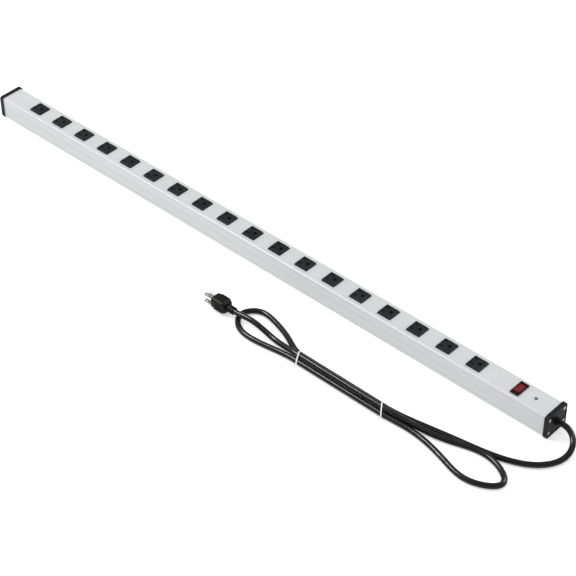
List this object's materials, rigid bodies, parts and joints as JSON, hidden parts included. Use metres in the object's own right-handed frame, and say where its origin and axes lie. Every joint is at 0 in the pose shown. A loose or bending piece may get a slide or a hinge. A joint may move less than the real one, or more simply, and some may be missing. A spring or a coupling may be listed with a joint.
{
  "type": "rack power strip",
  "caption": "Long vertical-mount rack power strip: grey channel with a row of black three-pole outlets, a red rocker switch at the cord end and a folded black cord with a three-prong plug.",
  "frame": {"origin": "centre of the housing's back face, the face that lies against the rack post", "axes": "+X runs along the housing to the cord end, +Z points out of the outlet faces, and the folded cord lies on the -Y side"},
  "size_m": [1.2684, 0.197, 0.045],
  "materials": {
    "body_enamel": "satin light grey anodised or enamelled aluminium",
    "cap_plastic": "moulded end cap, satin",
    "outlet_plastic": "charcoal moulded face",
    "switch_plastic": "black moulded bezel",
    "rocker_red": "translucent dark red",
    "zinc_steel": "bright zinc plate",
    "nickel": "nickel plate",
    "brass": "stamped strip",
    "copper_wire": "bare copper",
    "cord_rubber": "glossy vinyl jacket",
    "plug_pvc": "satin moulded vinyl",
    "nylon": "natural nylon",
    "wire_black": "wire insulation",
    "wire_white": "wire insulation",
    "wire_green": "wire insulation",
    "lamp_glass": "neon lamp envelope",
    "resistor_body": "lacquered body",
    "tie_paper": "paper-covered wire tie"
  },
  "bodies": {
    "housing": {"housing_extrusion": "body_enamel", "base_plate": "zinc_steel", "end_cap_cord": "cap_plastic", "end_cap_plain": "cap_plastic", "end_cap_screws_cord": "zinc_steel", "end_cap_screws_plain": "zinc_steel", "outlet_rear_covers": "outlet_plastic", "contacts_neutral": "brass", "contacts_line": "brass", "contacts_ground": "brass", "bus_wire_neutral": "copper_wire", "bus_wire_line": "copper_wire", "bus_wire_ground": "copper_wire", "crimp_splices": "nylon", "switch_housing": "switch_plastic", "switch_terminal_load": "brass", "switch_terminal_common": "brass", "switch_terminal_neutral": "brass", "switch_neon_lamp": "lamp_glass", "switch_lamp_resistor": "resistor_body", "breaker_bimetal": "nickel", "quick_connect_sleeves": "nylon", "ground_screw": "zinc_steel", "ground_ring_terminals": "nickel", "ground_nut": "zinc_steel", "power_cord_jacket": "cord_rubber", "conductor_line": "wire_black", "conductor_neutral": "wire_white", "conductor_ground": "wire_green", "lead_load": "wire_black", "lead_ground": "wire_green", "cord_strain_relief": "cord_rubber", "plug_body": "plug_pvc", "plug_blade_neutral": "nickel", "plug_blade_line": "nickel", "plug_ground_pin": "nickel", "twist_tie_left": "tie_paper", "twist_tie_right": "tie_paper", "outlet_01": "outlet_plastic", "outlet_02": "outlet_plastic", "outlet_03": "outlet_plastic", "outlet_04": "outlet_plastic", "outlet_05": "outlet_plastic", "outlet_06": "outlet_plastic", "outlet_07": "outlet_plastic", "outlet_08": "outlet_plastic", "outlet_09": "outlet_plastic", "outlet_10": "outlet_plastic", "outlet_11": "outlet_plastic", "outlet_12": "outlet_plastic", "outlet_13": "outlet_plastic", "outlet_14": "outlet_plastic", "outlet_15": "outlet_plastic", "outlet_16": "outlet_plastic", "outlet_17": "outlet_plastic", "outlet_18": "outlet_plastic"},
    "rocker": {"switch_rocker": "rocker_red", "switch_plunger": "nylon", "switch_spring": "nickel"},
    "contact_arm": {"switch_contact_arm": "brass"}
  },
  "joints": [
    {"name": "rocker_tilt", "type": "hinge", "parent": "housing", "child": "rocker", "pos_m": [0.5388, 0, 0.0375], "axis": [1, 0, 0], "range_deg": [0, 18]},
    {"name": "contact_arm_tilt", "type": "hinge", "parent": "housing", "child": "contact_arm", "pos_m": [0.5388, 0, 0.0249], "axis": [1, 0, 0], "range_deg": [-10, 0]}
  ],
  "couplings": [
    {"joint": "contact_arm_tilt", "follows": "rocker_tilt", "ratio": -0.555}
  ]
}
